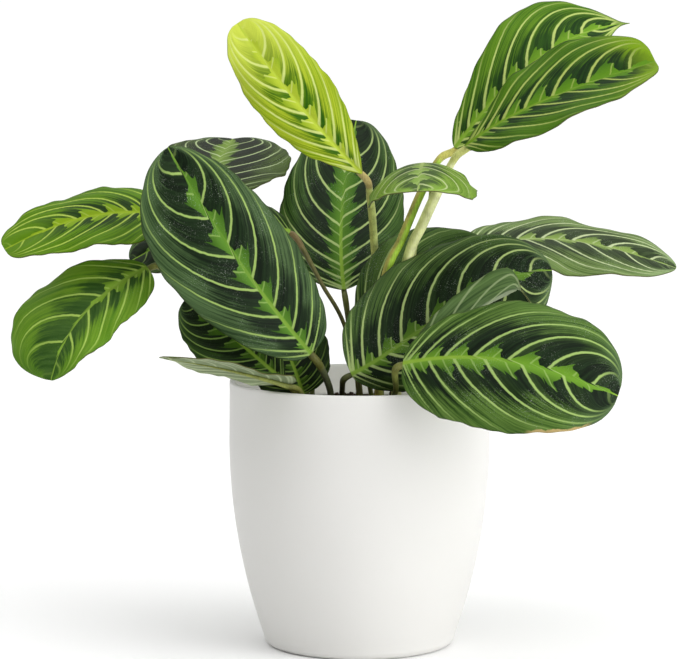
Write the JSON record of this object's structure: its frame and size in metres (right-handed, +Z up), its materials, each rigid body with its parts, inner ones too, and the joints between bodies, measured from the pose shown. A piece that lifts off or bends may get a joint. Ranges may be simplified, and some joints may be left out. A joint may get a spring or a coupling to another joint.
{
  "type": "potted prayer plant",
  "caption": "Potted prayer plant: broad oval leaves on slender stems rise and spread from the soil in a plain round pot that narrows to a flat base. A living decoration for a shelf or table.",
  "frame": {"origin": "centre of the pot's flat underside", "axes": "+Z up along the pot's axis; -Y towards the side that shows the upper faces of most leaves, and +X to the right of that side"},
  "size_m": [0.3132, 0.2184, 0.2971],
  "materials": {
    "pot": "satin white",
    "soil": "rough crumbly potting mix",
    "young_leaf": "satin lime green",
    "grown_leaf": "satin mid green",
    "old_leaf": "satin dark green with lighter veins"
  },
  "bodies": {
    "root": {"pot": "pot", "soil": "soil", "leaf_top_left": "young_leaf", "leaf_top_right_rear": "grown_leaf", "leaf_top_right_front": "grown_leaf", "leaf_centre_young": "young_leaf", "leaf_centre_upright": "old_leaf", "leaf_left_large": "old_leaf", "leaf_left_rear": "old_leaf", "leaf_far_left_upper": "young_leaf", "leaf_far_left_lower": "grown_leaf", "leaf_left_hidden": "old_leaf", "leaf_low_left": "old_leaf", "leaf_rim_left": "old_leaf", "leaf_right_large": "old_leaf", "leaf_right_front": "old_leaf", "leaf_far_right": "old_leaf", "leaf_right_rear": "old_leaf", "leaf_low_centre": "old_leaf", "leaf_back_left": "old_leaf", "leaf_back_right": "old_leaf", "leaf_back_low": "old_leaf"}
  },
  "joints": []
}
